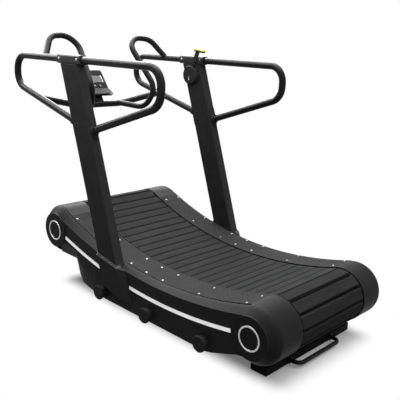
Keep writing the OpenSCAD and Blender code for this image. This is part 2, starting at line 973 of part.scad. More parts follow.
module tread() {
    difference() {
        deck_sector(tread_r, tread_r + tread_t, tread_in, tread_out, tread_from, tread_to);
        at_screws()
            translate([0, 0, -tread_t - 5])
                cylinder(h = tread_t + 10, r = screw_r + seat_gap);
    }
}

module left_tread() {
    color(grey)
        left_side()
            tread();
}

module right_tread() {
    color(grey)
        right_side()
            tread();
}

module tread_screws() {
    color(silver)
        both_sides()
            at_screws() {
                translate([0, 0, 0.3])
                    cylinder(h = 2, r1 = screw_head_r, r2 = screw_head_r - 1.5);
                translate([0, 0, -tread_t + 0.5])
                    cylinder(h = tread_t, r = screw_r);
            }
}

// Section of an end cap: a drum that turns down in the shoulders' curve to the round face
module cap_section() {
    wall = 4;
    steps = 8;
    polygon(concat(
        [[cap_r, tread_in]],
        [for (i = [0:steps])
            let (u = shoulder_soft * (2 * i / steps - 1))
            [cap_r - shoulder_drop(u) * (cap_r - cap_disc_r), shoulder_in + u * (side_y - shoulder_in)]],
        [[cap_disc_r - 2, side_y + 1], [cap_disc_r - 8, side_y + 1]],
        [[cap_r - wall - 6, shoulder_in - 2 * wall]],
        [[cap_r - wall, tread_in + wall], [cap_r - wall, tread_in]]));
}

// The round face, with a bevelled rim
module cap_disc() {
    turned(0, 360)
        polygon([
            [0, side_y], [cap_disc_r, side_y], [cap_disc_r, side_y + cap_disc_t - 1],
            [cap_disc_r - 1, side_y + cap_disc_t], [0, side_y + cap_disc_t]]);
}

module front_cap() {
    translate([front_x, 0, front_axle_z]) {
        turned(90 - front_angle, 270 - axle_slope)
            cap_section();
        cap_disc();
    }
    deck_sector(tread_r + weld_step, tread_r + 6, tread_in + weld_step, tread_out,
        front_angle + weld / tread_r * 180 / PI, -tread_from - joint_angle);
}

module rear_cap() {
    translate([0, 0, rear_axle_z]) {
        turned(-90 - axle_slope, 90 + rear_angle)
            cap_section();
        cap_disc();
    }
}

module left_front_cap() {
    color(charcoal)
        left_side()
            front_cap();
}

module right_front_cap() {
    color(charcoal)
        right_side()
            front_cap();
}

module left_rear_cap() {
    color(charcoal)
        left_side()
            rear_cap();
}

module right_rear_cap() {
    color(charcoal)
        right_side()
            rear_cap();
}

module cap_ring() {
    ring_w = 6;
    translate([0, side_y + cap_disc_t, 0])
        turned(0, 360)
            translate([ring_r - ring_w / 2, 0])
                square([ring_w, 1.5]);
}

module cap_rings() {
    color(silver)
        both_sides() {
            translate([front_x, 0, front_axle_z])
                cap_ring();
            translate([0, 0, rear_axle_z])
                cap_ring();
        }
}

// Stripe on the side covers, broken at the uprights
module side_stripes() {
    front_from = atan2(front_x + cap_disc_r + 6 - stripe_c[0], stripe_c[1] - front_axle_z);
    rear_to = atan2(-cap_disc_r - 8 - stripe_c[0], stripe_c[1] - rear_axle_z);
    gap_z = arc_z(stripe_c, stripe_r, -upright_reach);
    gap_half = upright_half + boot_rim + boot_flare + 8;
    gap_from = atan2(upright_x(gap_z) - gap_half - stripe_c[0], stripe_c[1] - gap_z);
    gap_to = atan2(upright_x(gap_z) + gap_half - stripe_c[0], stripe_c[1] - gap_z);
    color(silver)
        both_sides()
            for (part = [[front_from, gap_from], [gap_to, rear_to]])
                translate([stripe_c[0], 0, stripe_c[1]])
                    sector(stripe_r - stripe_w / 2, stripe_r + stripe_w / 2, side_y, side_y + 2,
                        270 + part[0], 270 + part[1], $fn = long_fn);
}

// Uprights

// A leaning bar of rounded section, cut level at z0 and z1
module leaning_bar(d, t, r, z0, z1) {
    spare = 200;
    intersection() {
        translate([upright_x(z0), upright_y, z0])
            rotate([0, -lean, 0])
                translate([0, 0, -spare])
                    linear_extrude((z1 - z0) / cos(lean) + 2 * spare)
                        round_rect(d, t, r);
        translate([upright_x(z1) - 2 * d, upright_y - t, z0])
            cube([upright_x(z0) - upright_x(z1) + 4 * d, 2 * t, z1 - z0]);
    }
}

module upright() {
    difference() {
        leaning_bar(upright_d, upright_t, upright_round, upright_foot_z, upright_top_z);
        leaning_bar(upright_d - 2 * upright_wall, upright_t - 2 * upright_wall, upright_round - upright_wall,
            upright_foot_z - 50, upright_top_z - upright_wall);
    }
}

module left_upright() {
    color(black)
        left_side()
            upright();
}

module right_upright() {
    color(black)
        right_side()
            upright();
}

// One outline of a boot, from height z0 to z1 on a sloping line
module boot_outline(z0, z1, grow) {
    polygon([
        boot_point(z0, -1, grow), boot_point(z0, 1, grow),
        boot_point(z1, 1, grow), boot_point(z1, -1, grow)]);
}

// Cover over the foot of an upright: it flares out to the side cover
module boot() {
    skin = 1;
    difference() {
        hull() {
            slab(side_y, side_y + skin)
                boot_outline(boot_low_z - 12, boot_top_z, boot_flare);
            slab(upright_out + boot_wall - skin, upright_out + boot_wall)
                boot_outline(boot_low_z, boot_top_z, 0);
        }
        upright_room(seat_gap, upright_foot_z - seat_gap, room_top_z);
    }
}

module left_boot() {
    color(black)
        left_side()
            boot();
}

module right_boot() {
    color(black)
        right_side()
            boot();
}

// Trim frame round each upright on top of its boot, in two steps
module boot_collars() {
    step_h = 5;
    inner_h = 14;
    color(grey)
        both_sides()
            difference() {
                union() {
                    slab(side_y + 0.5, upright_out + boot_wall + 2)
                        boot_outline(boot_top_z, boot_top_z + step_h, 2);
                    slab(side_y + 0.5, upright_out + boot_wall - 2)
                        boot_outline(boot_top_z + 1, boot_top_z + inner_h, -3);
                }
                upright_room(seat_gap, upright_foot_z, room_top_z);
            }
}

// Handrails

module handrail() {
    difference() {
        bent_tube(rail_path, rail_bend, rail_r, rail_r - tube_wall);
        upright_room(cope_gap, rear_joint_z - 150, front_joint_z + 150);
    }
}

module left_handrail() {
    color(black)
        left_side()
            handrail();
}

module right_handrail() {
    color(black)
        right_side()
            handrail();
}

// Sleeve that holds the top rail on an upright
module rail_clamp() {
    x = clamp_x;
    difference() {
        union() {
            translate([x - clamp_len / 2, upright_y, rail_z])
                rotate([90, 0, 90])
                    linear_extrude(clamp_len)
                        round_rect(2 * sleeve_r, 2 * sleeve_r, sleeve_r / 2);
            translate([x - upright_half + 10, upright_y - upright_t / 2 + 8, upright_top_z + seat_gap / 2])
                cube([2 * upright_half - 20, upright_t - 16, rail_z - upright_top_z - seat_gap / 2]);
        }
        translate([x - clamp_len, upright_y, rail_z])
            rotate([0, 90, 0])
                cylinder(h = 2 * clamp_len, r = rail_r);
        at_clamp_bolts()
            pin(clamp_bolt_r + seat_gap, rail_r + 1, sleeve_r + 5);
    }
}

// The four bolts of one clamp, two on each side
module at_clamp_bolts() {
    for (s = [-1, 1], side = [0, 1])
        translate([clamp_x + s * clamp_bolts_apart / 2, upright_y, rail_z + 4])
            mirror([0, side, 0])
                children();
}

module left_rail_clamp() {
    color(black)
        left_side()
            rail_clamp();
}

module right_rail_clamp() {
    color(black)
        right_side()
            rail_clamp();
}

module clamp_bolts() {
    color(silver)
        both_sides()
            at_clamp_bolts()
                pin(clamp_bolt_r, rail_r + 1, sleeve_r + 3);
}

// Feet of the lower rails against the uprights: a long pad on the upright and a ring round the rail
module rail_foot(from, to, side) {
    along = unit(to - from);
    difference() {
        union() {
            translate([upright_x(from[2]), upright_y, from[2]])
                rotate([0, -lean, 0])
                    translate([side * upright_d / 2 - rail_pad_t, 0, 0])
                        rotate([0, 90, 0])
                            linear_extrude(2 * rail_pad_t)
                                round_rect(rail_pad_len, rail_pad_w, rail_pad_w / 2 - 1);
            straight_tube(from, from + along * (boss_len + joint_reach), rail_r + 5, 0);
        }
        straight_tube(from - along * joint_reach, from + along * (2 * boss_len + joint_reach), cope_r, 0);
        upright_room(cope_gap, from[2] - 150, from[2] + 150);
    }
}

module rail_bosses() {
    color(black)
        both_sides() {
            rail_foot(rail_path[0], rail_path[1], -1);
            rail_foot(rail_path[5], rail_path[4], 1);
        }
}

// Horns and crossbar

module horn() {
    difference() {
        bent_tube(horn_path, horn_bend, horn_r, horn_r - tube_wall);
        straight_tube(rail_path[2], rail_path[3], cope_r, 0);
        bent_tube(crossbar_path, horn_bend, cope_r, 0);
    }
}

module left_horn() {
    color(black)
        left_side()
            horn();
}

module right_horn() {
    color(black)
        right_side()
            horn();
}

module crossbar() {
    color(black)
        from_rear()
            difference() {
                bent_tube(crossbar_path, horn_bend, rail_r, rail_r - tube_wall);
                for (s = [0, 1])
                    mirror([0, s, 0])
                        straight_tube(rail_path[0], rail_path[1], cope_r, 0);
            }
}

// Console

// Frame at the console's lower edge: x runs up the face, z out of it
module on_console() {
    from_rear()
        translate([console_x, 0, console_z])
            rotate([0, 180 + console_tilt, 0])
                mirror([0, 0, 1])
                    children();
}

// Where a line from point p touches the round edge of the console's lip, as an angle
function lip_tangent(p, side) =
    let (v = p - console_lip)
    atan2(v[1], v[0]) + side * acos(lip_r / norm(v));

// Side view of the case: a slim wedge with a lip that flares out below the face
module case_outline() {
    steps = 14;
    upper = lip_tangent([0, 0], 1);
    lower = lip_tangent([0, -console_t], -1) + 360;
    polygon(concat(
        [[0, 0], [console_h, 0], [console_h, -console_t * 0.6]],
        [[console_h * 0.35, -console_t], [0, -console_t]],
        [for (i = [0:steps])
            let (a = lower + (upper - lower) * i / steps)
            console_lip + lip_r * [cos(a), sin(a)]]));
}

// The case seen square to its face
module case_face() {
    low = console_lip[0] - lip_r;
    translate([(console_h + low) / 2, 0])
        round_rect(console_h - low, console_w, 16);
}

module console_case() {
    deep = 100;
    color(black)
        on_console()
            difference() {
                intersection() {
                    slab(-console_w, console_w)
                        case_outline();
                    translate([0, 0, -deep])
                        linear_extrude(2 * deep)
                            case_face();
                }
                translate([screen_from, -screen_w / 2, -4])
                    cube([screen_h, screen_w, 10]);
                for (i = [-1, 0, 1])
                    translate([button_u, i * button_step, -8])
                        cylinder(h = 20, r = button_d / 2 + run_gap);
            }
}

module console_screen() {
    color(grey)
        on_console()
            translate([screen_from + seat_gap, -screen_w / 2 + seat_gap, -4])
                cube([screen_h - 2 * seat_gap, screen_w - 2 * seat_gap, 3]);
}

module console_button(i) {
    color(silver)
        on_console()
            translate([button_u, i * button_step, -8 + button_travel + seat_gap])
                cylinder(h = 10, r = button_d / 2);
}

module left_button() {
    console_button(-1);
}

module middle_button() {
    console_button(0);
}

module right_button() {
    console_button(1);
}

// Post from the crossbar to the back of the console
module console_bracket() {
    color(black)
        from_rear()
            difference() {
                slab(-post_w / 2, post_w / 2)
                    polygon([
                        [bar_mid[0] - 14, bar_mid[2] + rail_r - 10],
                        [bar_mid[0] + 14, bar_mid[2] + rail_r - 10],
                        console_at(-40, 0), console_at(6, -console_t + 8)]);
                straight_tube(crossbar_path[1], crossbar_path[2], cope_r, 0);
                translate([-rear_x, 0, 0])
                    on_console()
                        slab(-console_w, console_w)
                            case_outline();
            }
}

// Resistance dial

// Fixed base with the pivot of the dial
module dial_housing() {
    color(charcoal)
        right_side()
            translate([dial_x, 0, dial_z]) {
                pin(dial_r + 5, upright_in - dial_base_t, upright_in);
                pin(pin_r, dial_face + 8, upright_in - 1);
            }
}

// Lever frame: z runs along the lever from its pivot
module on_lever() {
    right_side()
        translate([dial_x, 0, dial_z])
            rotate([0, lever_tilt, 0])
                children();
}

// Frame at the lever's end, under the cap
module on_lever_end() {
    translate([cap_shift, lever_y + lever_t / 2, lever_len])
        rotate([90, -cap_turn, 0])
            children();
}

// Turning dial with its arm and the arm's flat head
module resistance_lever() {
    back = upright_in - dial_base_t - run_gap;
    bevel = 4;
    head_h = 8;
    color(charcoal)
        on_lever() {
            difference() {
                turned(0, 360)
                    polygon([
                        [0, dial_face], [dial_r - bevel, dial_face], [dial_r, dial_face + bevel],
                        [dial_r, back], [0, back]]);
                pin(pin_r + bearing_gap, dial_face + 7, back + 1);
            }
            difference() {
                slab(lever_y, lever_y + lever_t)
                    polygon([[-14, 0], [14, 0], [11, lever_len - 5], [-11, lever_len - 10]]);
                pin(dial_r - 2, lever_y - 1, lever_y + lever_t + 1);
            }
            on_lever_end()
                linear_extrude(cap_w - 4, center = true)
                    translate([0, -head_h / 2])
                        round_rect(cap_len - 4, head_h, 3);
        }
}

module lever_cap() {
    cap_h = 9;
    color(yellow)
        on_lever()
            on_lever_end()
                linear_extrude(cap_w, center = true)
                    translate([0, cap_h / 2])
                        round_rect(cap_len, cap_h, 4);
}

// Pegs for exercise bands

module at_pegs() {
    for (x = peg_xs)
        translate([x, 0, peg_z])
            children();
}

// Section of a peg: a stem that flares into the side cover, and a bevelled head
module peg_section() {
    stem_r = 22;
    flare = 12;
    head_y = side_y + peg_reach - 10;
    bevel = 3;
    polygon(concat(
        [[0, side_y]],
        [for (a = [0:15:90]) [stem_r + flare * (1 - sin(a)), side_y + flare * (1 - cos(a))]],
        [[stem_r, head_y], [peg_head_r, head_y], [peg_head_r, side_y + peg_reach - bevel]],
        [[peg_head_r - bevel, side_y + peg_reach], [0, side_y + peg_reach]]));
}

module band_pegs() {
    color(black)
        both_sides()
            at_pegs()
                difference() {
                    turned(0, 360)
                        peg_section();
                    pin(8, side_y + peg_reach - 6, side_y + peg_reach + 1);
                }
}

module peg_screws() {
    color(steel)
        both_sides()
            at_pegs()
                pin(8 - seat_gap, side_y + peg_reach - 6, side_y + peg_reach - 2);
}

// Feet

module foot_bar() {
    wall = 3;
    translate([0, 0, (foot_h + pad_h) / 2])
        rotate([90, 0, 0])
            difference() {
                linear_extrude(foot_len, center = true)
                    round_rect(foot_d, foot_h - pad_h, 5);
                linear_extrude(foot_len - 2 * wall, center = true)
                    round_rect(foot_d - 2 * wall, foot_h - pad_h - 2 * wall, 2);
            }
}

module rear_foot_bar() {
    color(black)
        from_rear()
            translate([-rear_foot, 0, 0])
                foot_bar();
}

module lift_handle() {
    half = 165;
    reach = 54;
    r = 10;
    x = -rear_foot + foot_d / 2;
    z = (foot_h + pad_h) / 2;
    color(black)
        from_rear()
            union() {
                bent_tube([
                    [x, -half, z], [x + reach, -half, z], [x + reach, half, z], [x, half, z]], 34, r, 0);
                for (s = [-1, 1])
                    translate([x, s * half, z])
                        rotate([0, 90, 0])
                            cylinder(h = 5, r = 18);
            }
}

// Front bar with two forks for the transport wheels
module front_foot_bar() {
    arm_t = 5;
    color(black)
        from_rear()
            translate([front_x + front_foot, 0, 0]) {
                foot_bar();
                for (s = [-1, 1], side = [-1, 1])
                    difference() {
                        translate([-foot_d / 2 - wheel_arm, 0, 0])
                            slab(s * wheel_y + side * (wheel_w / 2 + 4) - arm_t / 2,
                                s * wheel_y + side * (wheel_w / 2 + 4) + arm_t / 2)
                                union() {
                                    translate([0, wheel_r + 2])
                                        circle(11);
                                    translate([0, wheel_r - 9])
                                        square([wheel_arm, 20]);
                                }
                        translate([-foot_d / 2 - wheel_arm, 0, wheel_r + 2])
                            pin(wheel_pin_r, -400, 400);
                    }
            }
}

module transport_wheel() {
    translate([front_x + front_foot - foot_d / 2 - wheel_arm, 0, wheel_r + 2])
        difference() {
            union() {
                pin(wheel_r, wheel_y - wheel_w / 2 + 3, wheel_y + wheel_w / 2 - 3);
                pin(wheel_r - 4, wheel_y - wheel_w / 2, wheel_y + wheel_w / 2);
            }
            pin(wheel_pin_r + bearing_gap, wheel_y - wheel_w, wheel_y + wheel_w);
        }
}

module left_wheel() {
    color(grey)
        left_side()
            transport_wheel();
}

module right_wheel() {
    color(grey)
        right_side()
            transport_wheel();
}

module wheel_bolts() {
    reach = wheel_w / 2 + 4 + 2.5;
    color(steel)
        both_sides()
            translate([front_x + front_foot - foot_d / 2 - wheel_arm, 0, wheel_r + 2]) {
                pin(wheel_pin_r, wheel_y - reach, wheel_y + reach);
                pin(9, wheel_y + reach, wheel_y + reach + 5);
                pin(8, wheel_y - reach - 5, wheel_y - reach);
            }
}

module foot_pads() {
    pad_len = 90;
    color(black)
        both_sides()
            for (x = [front_x + front_foot, -rear_foot])
                translate([x - foot_d / 2 + 8, foot_len / 2 - pad_len - 8, 0])
                    cube([foot_d - 16, pad_len, pad_h]);
}

left_frame();
right_frame();
cross_tubes();
track_rollers();
front_axle();
left_front_pulley();
right_front_pulley();
rear_axle();
left_rear_pulley();
right_rear_pulley();
axle_bearings();
brake_disc();
magnet_bracket();
brake_magnets();
brake_cable();
drive_belts();
belt_slats();
left_side_cover();
right_side_cover();
left_tread();
right_tread();
left_front_cap();
right_front_cap();
left_rear_cap();
right_rear_cap();
cap_rings();
side_stripes();
tread_screws();
left_upright();
right_upright();
left_boot();
right_boot();
boot_collars();
left_handrail();
right_handrail();
left_rail_clamp();
right_rail_clamp();
clamp_bolts();
rail_bosses();
left_horn();
right_horn();
crossbar();
console_bracket();
console_case();
console_screen();
left_button();
middle_button();
right_button();
dial_housing();
resistance_lever();
lever_cap();
band_pegs();
peg_screws();
rear_foot_bar();
lift_handle();
front_foot_bar();
left_wheel();
right_wheel();
wheel_bolts();
foot_pads();
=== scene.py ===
"""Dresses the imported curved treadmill: materials, small pieces of its own, studio and camera."""

import json
import math

import bmesh
import bpy
from mathutils import Matrix, Vector


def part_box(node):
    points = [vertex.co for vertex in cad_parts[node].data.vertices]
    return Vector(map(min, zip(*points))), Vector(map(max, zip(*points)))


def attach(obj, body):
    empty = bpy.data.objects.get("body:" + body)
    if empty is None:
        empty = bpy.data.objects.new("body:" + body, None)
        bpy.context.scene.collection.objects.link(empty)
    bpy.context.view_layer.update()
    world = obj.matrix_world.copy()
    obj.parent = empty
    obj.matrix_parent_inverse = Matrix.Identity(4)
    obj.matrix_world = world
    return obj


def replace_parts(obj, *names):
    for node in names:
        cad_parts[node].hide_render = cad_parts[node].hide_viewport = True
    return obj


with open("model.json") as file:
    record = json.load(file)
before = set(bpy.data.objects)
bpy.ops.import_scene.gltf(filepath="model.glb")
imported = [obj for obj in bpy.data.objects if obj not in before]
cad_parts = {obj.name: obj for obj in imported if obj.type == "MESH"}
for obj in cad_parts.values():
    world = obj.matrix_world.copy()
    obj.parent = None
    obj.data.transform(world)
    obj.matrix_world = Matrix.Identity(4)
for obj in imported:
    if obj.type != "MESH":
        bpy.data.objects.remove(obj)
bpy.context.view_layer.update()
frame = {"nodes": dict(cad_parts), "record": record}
NODES = frame["nodes"]

MM = 0.001

# Radii of the tread surface and of the end caps, which it is tangent to
TREAD_R = 1950 * MM
CAP_R = 135 * MM

# Camera: place and angles solved from the photograph
CAMERA_AT = Vector((2238.3, -2228.1, 1407.8)) * MM
CAMERA_YAW = 43.77
CAMERA_PITCH = 15.0
CAMERA_ROLL = 2.39
CAMERA_LENS = 54.18
SENSOR = 36.0
CLIP_END = 100.0


# Materials

# Range that holds most values of a noise texture
NOISE_LOW, NOISE_HIGH = 0.3, 0.7
# Depth of the grain on coats, plastics and rubber, and of the scratches on metal
GRAIN = 0.06 * MM
SCRATCH = 0.04 * MM
BEVEL_SAMPLES = 4


class Shader:
    """A Principled material whose textures lie in object coordinates."""

    def __init__(self, name, colour, roughness, metallic=0.0, specular=0.5):
        self.colour = colour
        self.roughness = roughness
        self.material = bpy.data.materials.new(name)
        self.material.use_nodes = True
        self.tree = self.material.node_tree
        self.bsdf = self.tree.nodes["Principled BSDF"]
        self.bsdf.inputs["Base Color"].default_value = (*colour, 1)
        self.bsdf.inputs["Roughness"].default_value = roughness
        self.bsdf.inputs["Metallic"].default_value = metallic
        self.bsdf.inputs["Specular IOR Level"].default_value = specular
        self.coords = self.node("ShaderNodeTexCoord").outputs["Object"]
        self.normal = None

    def node(self, kind, **values):
        made = self.tree.nodes.new(kind)
        for key, value in values.items():
            if key in made.inputs:
                made.inputs[key].default_value = value
            else:
                setattr(made, key, value)
        return made

    def link(self, source, target):
        self.tree.links.new(source, target)

    def noise(self, per_metre, detail=4.0, stretch=(1, 1, 1)):
        scaled = self.node("ShaderNodeMapping", Scale=stretch)
        self.link(self.coords, scaled.inputs["Vector"])
        made = self.node("ShaderNodeTexNoise", Scale=per_metre, Detail=detail)
        self.link(scaled.outputs["Vector"], made.inputs["Vector"])
        return made.outputs["Fac"]

    def tint(self, factor, light, dark):
        """Lets the colour vary between two shares of itself."""
        ramp = self.node("ShaderNodeValToRGB")
        stops = ((NOISE_LOW, dark), (NOISE_HIGH, light))
        for element, (position, share) in zip(ramp.color_ramp.elements, stops):
            element.position = position
            element.color = (*(c * share for c in self.colour), 1)
        self.link(factor, ramp.inputs["Fac"])
        self.link(ramp.outputs["Color"], self.bsdf.inputs["Base Color"])

    def rough(self, factor, less, more):
        """Lets the roughness vary by so much down and up."""
        made = self.node("ShaderNodeMapRange")
        made.inputs["From Min"].default_value = NOISE_LOW
        made.inputs["From Max"].default_value = NOISE_HIGH
        made.inputs["To Min"].default_value = self.roughness - less
        made.inputs["To Max"].default_value = self.roughness + more
        self.link(factor, made.inputs["Value"])
        self.link(made.outputs["Result"], self.bsdf.inputs["Roughness"])

    def soft_edges(self, radius):
        """Rounds the look of sharp edges."""
        made = self.node("ShaderNodeBevel", Radius=radius, samples=BEVEL_SAMPLES)
        self.normal = made.outputs["Normal"]
        self.link(self.normal, self.bsdf.inputs["Normal"])

    def bump(self, factor, height, strength):
        made = self.node("ShaderNodeBump", Strength=strength, Distance=height)
        self.link(factor, made.inputs["Height"])
        if self.normal is not None:
            self.link(self.normal, made.inputs["Normal"])
        self.normal = made.outputs["Normal"]
        self.link(self.normal, self.bsdf.inputs["Normal"])


def coated(name, colour, roughness, specular=0.3):
    """Powder-coated steel: an even colour with fine orange peel."""
    s = Shader(name, colour, roughness, specular=specular)
    s.tint(s.noise(14), light=1.12, dark=0.88)
    s.rough(s.noise(60), less=0.05, more=0.06)
    s.soft_edges(2 * MM)
    s.bump(s.noise(900, 2), GRAIN, strength=0.35)
    return s.material


def moulded(name, colour, roughness, specular=0.2):
    """Moulded plastic with a spark-eroded grain."""
    s = Shader(name, colour, roughness, specular=specular)
    s.tint(s.noise(9), light=1.1, dark=0.9)
    s.rough(s.noise(120), less=0.06, more=0.06)
    s.soft_edges(1.5 * MM)
    s.bump(s.noise(1400, 3), GRAIN, strength=0.5)
    return s.material


def rubber(name, colour, roughness, specular):
    """Rubber with a dusty face, slightly streaked across the machine."""
    s = Shader(name, colour, roughness, specular=specular)
    s.tint(s.noise(30, 6, stretch=(1, 0.15, 1)), light=1.18, dark=0.85)
    s.rough(s.noise(80), less=0.05, more=0.08)
    s.soft_edges(1 * MM)
    s.bump(s.noise(1800, 2), GRAIN, strength=0.6)
    return s.material


def metal(name, colour, roughness):
    """Plain or plated steel, faintly mottled."""
    s = Shader(name, colour, roughness, metallic=1.0)
    s.tint(s.noise(60), light=1.08, dark=0.9)
    s.rough(s.noise(400, 3), less=0.06, more=0.08)
    s.bump(s.noise(1500, 2), SCRATCH, strength=0.3)
    return s.material


def display(name, colour, roughness):
    """Liquid-crystal display: an even grey under a dull window."""
    s = Shader(name, colour, roughness, specular=0.1)
    s.tint(s.noise(6, 1), light=1.03, dark=0.97)
    s.rough(s.noise(300), less=0.03, more=0.03)
    return s.material


def film(name, colour, roughness):
    """Silver self-adhesive film."""
    s = Shader(name, colour, roughness, metallic=0.85)
    s.tint(s.noise(40), light=1.04, dark=0.94)
    s.rough(s.noise(200), less=0.05, more=0.05)
    return s.material


# One material for each slot: colour, roughness and specular level. The white floor and background show in gloss,
# so the level is low on the dark faces.
MATERIALS = {
    "frame_steel": coated("frame_coat", (0.014, 0.014, 0.015), 0.45, 0.02),
    "upright_paint": coated("upright_coat", (0.042, 0.042, 0.043), 0.45, 0.02),
    "clamp_plastic": moulded("fitting_plastic", (0.036, 0.036, 0.037), 0.5, 0.025),
    "cover_plastic": moulded("cover_grain", (0.032, 0.032, 0.033), 0.42, 0.026),
    "cap_plastic": moulded("cap_grain", (0.027, 0.027, 0.028), 0.42, 0.025),
    "tread_plastic": moulded("tread_grain", (0.040, 0.040, 0.041), 0.65, 0.02),
    "slat_rubber": rubber("slat_face", (0.031, 0.031, 0.032), 0.7, 0.016),
    "belt_rubber": rubber("belt_rubber", (0.010, 0.010, 0.010), 0.7, 0.1),
    "roller_plastic": moulded("roller_plastic", (0.08, 0.08, 0.08), 0.4),
    "bright_steel": metal("bright_steel", (0.66, 0.66, 0.67), 0.3),
    "bearing_iron": coated("bearing_paint", (0.11, 0.11, 0.115), 0.5),
    "silver_trim": film("silver_film", (0.80, 0.80, 0.81), 0.42),
    "collar_grey": moulded("collar_plastic", (0.10, 0.10, 0.102), 0.5),
    "screen_grey": display("display", (0.20, 0.20, 0.19), 0.4),
    "button_grey": moulded("key_rubber", (0.30, 0.30, 0.30), 0.5),
    "yellow_cap": moulded("yellow_plastic", (0.92, 0.85, 0.02), 0.35),
}

TUBE_COAT = coated("tube_coat", (0.017, 0.017, 0.018), 0.34, 0.06)
CONSOLE_CASE = moulded("case_plastic", (0.018, 0.018, 0.019), 0.5, 0.03)
CLAMP_PLASTIC = moulded("clamp_plastic", (0.05, 0.05, 0.051), 0.38, 0.08)
DULL_FILM = film("dull_film", (0.46, 0.46, 0.47), 0.42)
SCREW_ZINC = metal("screw_zinc", (0.26, 0.26, 0.265), 0.4)
DARK_SCREW = coated("black_screw", (0.006, 0.006, 0.006), 0.4, 0.1)

# Nodes that look different from the rest of their slot
TUBES = ("left_handrail", "right_handrail", "left_horn", "right_horn", "crossbar", "lift_handle")
OWN_MATERIALS = {
    **dict.fromkeys(TUBES, TUBE_COAT),
    **dict.fromkeys(("left_rail_clamp", "right_rail_clamp"), CLAMP_PLASTIC),
    **dict.fromkeys(("console_case", "console_bracket"), CONSOLE_CASE),
    "peg_screws": DARK_SCREW,
    "tread_screws": SCREW_ZINC,
}

for entry in frame["record"]["subparts"]:
    mesh = NODES[entry["node"]].data
    mesh.materials.clear()
    mesh.materials.append(OWN_MATERIALS.get(entry["node"], MATERIALS[entry["material_slot"]]))


# Helpers for new pieces

def add_mesh(name, vertices, faces, slot, body="frame", material=None):
    """A new piece that rides on a body, with its slot's material or one of its own."""
    mesh = bpy.data.meshes.new(name)
    mesh.from_pydata(vertices, [], faces)
    outward = bmesh.new()
    outward.from_mesh(mesh)
    bmesh.ops.recalc_face_normals(outward, faces=outward.faces)
    outward.to_mesh(mesh)
    outward.free()
    mesh.materials.append(material or MATERIALS[slot])
    piece = bpy.data.objects.new(name, mesh)
    bpy.context.collection.objects.link(piece)
    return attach(piece, body)


def middle(node):
    low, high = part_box(node)
    return (low + high) / 2


def about(axle, angle, y, r):
    """A point at an angle and a radius about an axle."""
    return (axle.x + r * math.cos(angle), y, axle.z + r * math.sin(angle))


def side_faces(count, total):
    """Faces from each of the first sections, of four points each, to the section after it."""
    faces = []
    for i in range(count):
        for k in range(4):
            a, b = 4 * i + k, 4 * i + (k + 1) % 4
            faces.append((a, b, (b + 4) % total, (a + 4) % total))
    return faces


def bar(sections):
    """Points and faces of a bar with two ends, from its sections."""
    total = 4 * len(sections)
    ends = [(3, 2, 1, 0), tuple(range(total - 4, total))]
    return [p for section in sections for p in section], ends + side_faces(len(sections) - 1, total)


def hoop(sections):
    """Points and faces of a bar that closes on itself."""
    return [p for section in sections for p in section], side_faces(len(sections), 4 * len(sections))


def joined(parts):
    """Points and faces of several bodies as one."""
    vertices, faces = [], []
    for points, sides in parts:
        start = len(vertices)
        vertices += points
        faces += [tuple(start + k for k in face) for face in sides]
    return vertices, faces


# Deck: the treads' arc, from the places of the two axles

FRONT = middle("front_axle")
REAR = middle("rear_axle")


def deck_centre():
    """Centre of the treads' arc in x and z, as far from either axle as the two radii reach."""
    across = Vector((REAR.x - FRONT.x, REAR.z - FRONT.z))
    half = across.length / 2
    up = Vector((-across.y, across.x)).normalized()
    mid = Vector((FRONT.x + REAR.x, FRONT.z + REAR.z)) / 2
    return mid + up * math.sqrt((TREAD_R + CAP_R) ** 2 - half ** 2)


CENTRE = deck_centre()
# How far the arc reaches to the front and to the rear
FRONT_ANGLE = math.asin((CENTRE.x - FRONT.x) / (TREAD_R + CAP_R))
REAR_ANGLE = math.asin((REAR.x - CENTRE.x) / (TREAD_R + CAP_R))


def on_deck(angle, y, height):
    """A point on the tread's arc; height is measured towards the runner."""
    r = TREAD_R - height
    return (CENTRE.x + r * math.sin(angle), y, CENTRE.y - r * math.cos(angle))


def end_turns():
    """Axle, first angle and last angle of each end turn."""
    slope = math.atan2(FRONT.z - REAR.z, REAR.x - FRONT.x)
    return ((REAR, math.pi / 2 + REAR_ANGLE, -math.pi / 2 - slope),
            (FRONT, 3 * math.pi / 2 - slope, math.pi / 2 - FRONT_ANGLE))


# Treads: a raised pattern of short ribs, turned one way and then the other

RIB_PITCH = 15 * MM
RIB_LENGTH = 13.5 * MM
RIB_WIDTH = 4.2 * MM
RIB_HEIGHT = 0.9 * MM
# How far a rib reaches into the tread, and the size of its top as a share of its foot
RIB_ROOT = 0.2 * MM
RIB_TOP = 0.72
RIB_TURN = math.radians(45)
# Bare edge of the tread, and the first rib's place after it as a share of the pitch
RIB_MARGIN = 9 * MM
RIB_START = 0.25
CORNERS = ((-1, -1), (1, -1), (1, 1), (-1, 1))
RIB_FACES = [(4, 5, 6, 7), (0, 1, 5, 4), (1, 2, 6, 5), (2, 3, 7, 6), (3, 0, 4, 7), (3, 2, 1, 0)]


def rib(angle, y, turn):
    """Eight corners of one rib, its top a little smaller than its foot."""
    corners = []
    for height, size in ((-RIB_ROOT, 1.0), (RIB_HEIGHT, RIB_TOP)):
        for u, v in CORNERS:
            along = u * RIB_LENGTH / 2 * size
            side = v * RIB_WIDTH / 2 * size
            s = along * math.cos(turn) - side * math.sin(turn)
            w = along * math.sin(turn) + side * math.cos(turn)
            corners.append(on_deck(angle + s / TREAD_R, y + w, height))
    return corners


